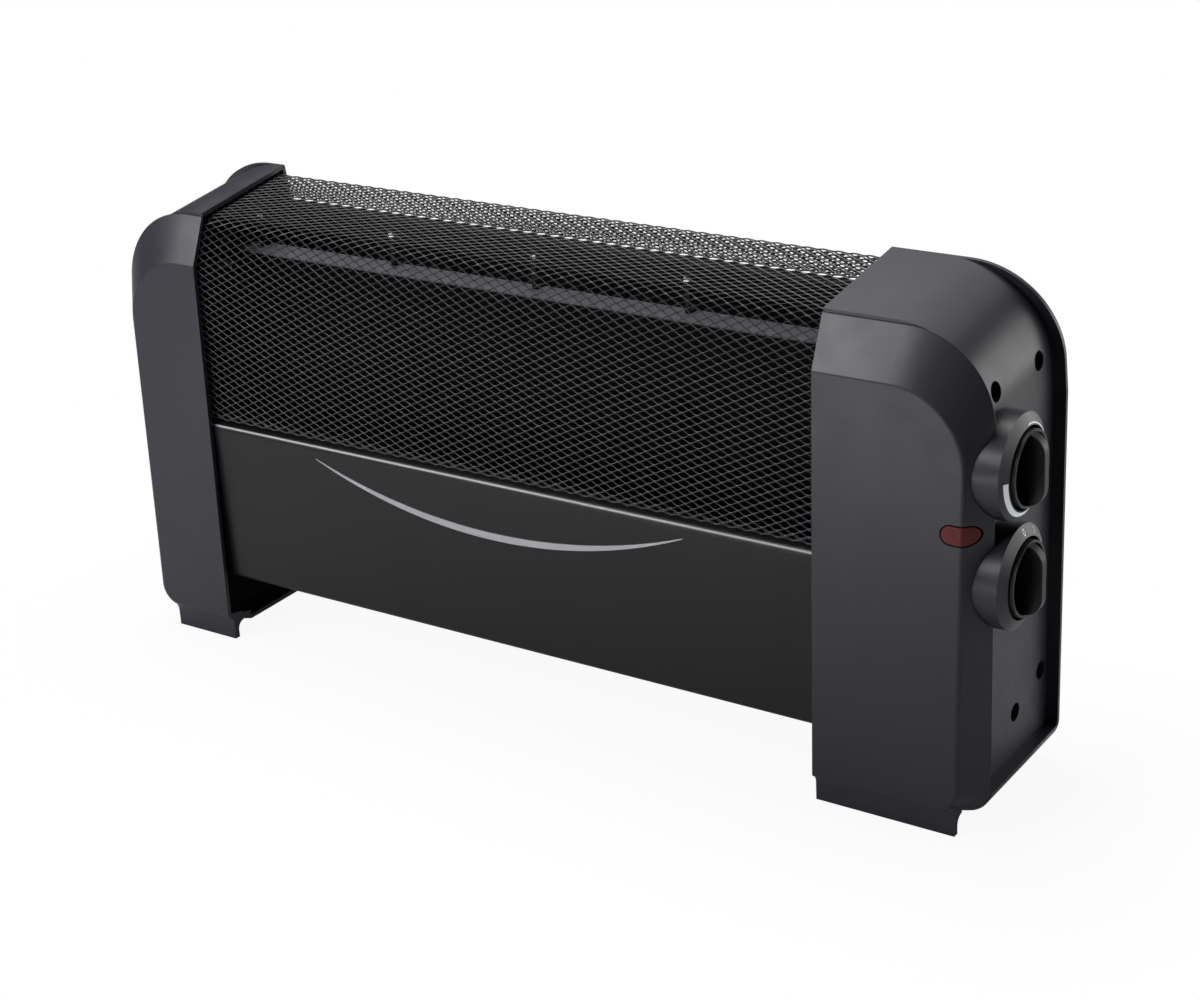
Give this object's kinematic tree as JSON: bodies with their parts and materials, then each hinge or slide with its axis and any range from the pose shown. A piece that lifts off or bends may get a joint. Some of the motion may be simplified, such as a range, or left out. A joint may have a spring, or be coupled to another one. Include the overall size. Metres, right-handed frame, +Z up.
{
  "type": "portable baseboard heater",
  "caption": "Low free-standing convector heater: moulded end caps, folded steel body with mesh grille, and turning thermostat and power knobs on one end.",
  "frame": {"origin": "on the floor, below the middle of the heater's overall box", "axes": "+X along the length towards the control end, +Y to the rear, +Z up"},
  "size_m": [0.566, 0.1021, 0.2699],
  "materials": {
    "cap_plastic": "satin charcoal moulding",
    "panel_black": "satin black powder coat",
    "mesh_black": "semi-gloss black coat",
    "accent_silver": "satin silver",
    "knob_plastic": "satin black moulding",
    "lens_red": "clear dark red",
    "steel": "plain zinc-plated",
    "screws": "plain zinc-plated",
    "heating_steel": "heat-tinted",
    "fin_aluminium": "plain mill finish",
    "ceramic": "glazed off-white",
    "control_plastic": "plain cream moulding",
    "lamp_glass": "clear, orange gas",
    "lead_rubber": "matt insulation",
    "gland_rubber": "matt black"
  },
  "bodies": {
    "heater_body": {"right_front_shell": "cap_plastic", "right_rear_shell": "cap_plastic", "left_front_shell": "cap_plastic", "left_rear_shell": "cap_plastic", "front_panel": "panel_black", "rear_panel": "panel_black", "base_plate": "panel_black", "baffle": "panel_black", "left_end_plate": "panel_black", "right_end_plate": "panel_black", "grille_clips": "panel_black", "mesh_grille": "mesh_black", "accent_strip": "accent_silver", "thermal_cutout": "knob_plastic", "indicator_lens": "lens_red", "control_bracket": "steel", "element_hangers": "steel", "right_cap_screws": "screws", "left_cap_screws": "screws", "panel_screws": "screws", "control_screws": "screws", "heating_rod": "heating_steel", "element_fins": "fin_aluminium", "ceramic_bushes": "ceramic", "thermostat_body": "control_plastic", "selector_switch": "control_plastic", "terminal_block": "control_plastic", "tilt_switch": "control_plastic", "indicator_lamp": "lamp_glass", "internal_leads": "lead_rubber", "cord_gland": "gland_rubber"},
    "thermostat_dial": {"thermostat_knob": "knob_plastic", "thermostat_shaft": "steel"},
    "selector_dial": {"selector_knob": "knob_plastic", "selector_shaft": "steel"}
  },
  "joints": [
    {"name": "thermostat_turn", "type": "hinge", "parent": "heater_body", "child": "thermostat_dial", "pos_m": [0.265, -0.0158, 0.19], "axis": [-1, 0, 0], "range_deg": [0, 270]},
    {"name": "selector_turn", "type": "hinge", "parent": "heater_body", "child": "selector_dial", "pos_m": [0.265, -0.0158, 0.133], "axis": [-1, 0, 0], "range_deg": [0, 60]}
  ]
}
